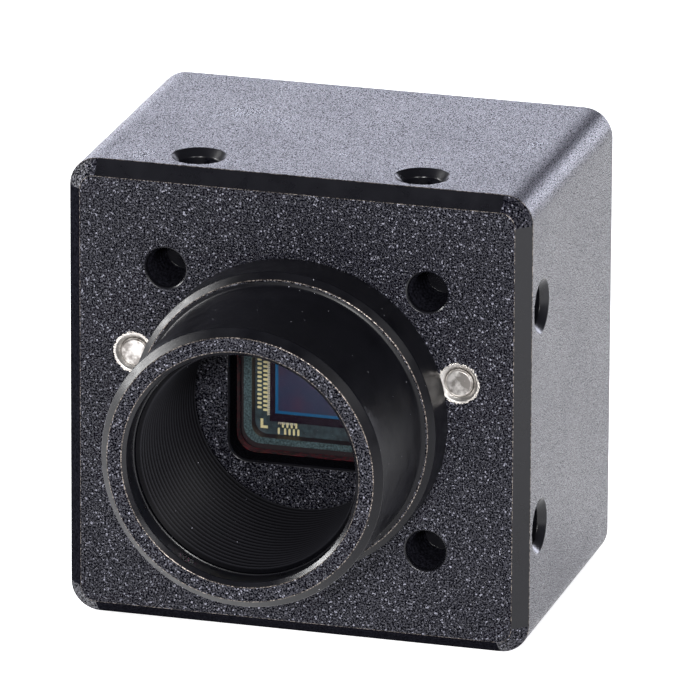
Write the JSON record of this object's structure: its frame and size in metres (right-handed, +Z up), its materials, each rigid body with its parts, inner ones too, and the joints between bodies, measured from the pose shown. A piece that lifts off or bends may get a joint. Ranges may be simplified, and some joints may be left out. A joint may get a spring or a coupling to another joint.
{
  "type": "compact astronomy camera",
  "caption": "Small cube camera with a threaded lens tube on the front, an image sensor behind a window, and tapped mounting holes in its faces.",
  "frame": {"origin": "under the middle of the whole camera, lens tube and rear connector included, on the plane it stands on", "axes": "-Y along the lens axis, out of the tube's mouth; +Z up; +X to the right of someone who faces the lens"},
  "size_m": [0.029, 0.036, 0.029],
  "materials": {
    "housing": "bead-blasted, black anodised",
    "lens_tube": "turned, satin black anodised",
    "front_pins": "ground stainless steel",
    "dust_seal": "dark silicone",
    "cover_glass": "anti-reflection coated",
    "lid_adhesive": "cured grey-green adhesive",
    "package_frame": "moulded black resin",
    "package_base": "laminate with blue-grey mask",
    "sensor_die": "polished silicon",
    "pixel_array": "microlens film",
    "bond_fingers": "gold plated",
    "sensor_board": "glass-epoxy board with solder mask",
    "sensor_capacitors": "sintered ceramic with tinned ends",
    "clock_oscillator": "plated metal can",
    "mezzanine_plug": "ivory liquid-crystal polymer",
    "mezzanine_socket": "ivory liquid-crystal polymer",
    "main_board": "glass-epoxy board with solder mask",
    "processor_chip": "black moulding compound",
    "memory_chip": "black moulding compound",
    "interface_chip": "black moulding compound",
    "main_capacitors": "sintered ceramic with tinned ends",
    "thermal_pad": "soft filled silicone",
    "stack_spacers": "turned brass",
    "stack_screws": "stainless steel",
    "usb_shell": "nickel-plated steel",
    "usb_tongue": "black nylon",
    "usb_contacts": "gold plated",
    "io_shell": "nickel-plated brass",
    "io_nut": "nickel-plated brass",
    "io_insert": "black polyester resin",
    "io_pins": "gold plated",
    "status_led": "moulded clear resin",
    "light_pipe": "clear acrylic",
    "rear_gasket": "black silicone",
    "rear_cover": "bead-blasted, black anodised",
    "rear_screws": "black oxide steel"
  },
  "bodies": {
    "root": {"housing": "housing", "lens_tube": "lens_tube", "front_pins": "front_pins", "dust_seal": "dust_seal", "cover_glass": "cover_glass", "lid_adhesive": "lid_adhesive", "package_frame": "package_frame", "package_base": "package_base", "sensor_die": "sensor_die", "pixel_array": "pixel_array", "bond_fingers": "bond_fingers", "sensor_board": "sensor_board", "sensor_capacitors": "sensor_capacitors", "clock_oscillator": "clock_oscillator", "mezzanine_plug": "mezzanine_plug", "mezzanine_socket": "mezzanine_socket", "main_board": "main_board", "processor_chip": "processor_chip", "memory_chip": "memory_chip", "interface_chip": "interface_chip", "main_capacitors": "main_capacitors", "thermal_pad": "thermal_pad", "stack_spacers": "stack_spacers", "stack_screws": "stack_screws", "usb_shell": "usb_shell", "usb_tongue": "usb_tongue", "usb_contacts": "usb_contacts", "io_shell": "io_shell", "io_nut": "io_nut", "io_insert": "io_insert", "io_pins": "io_pins", "status_led": "status_led", "light_pipe": "light_pipe", "rear_gasket": "rear_gasket", "rear_cover": "rear_cover", "rear_screws": "rear_screws"}
  },
  "joints": []
}
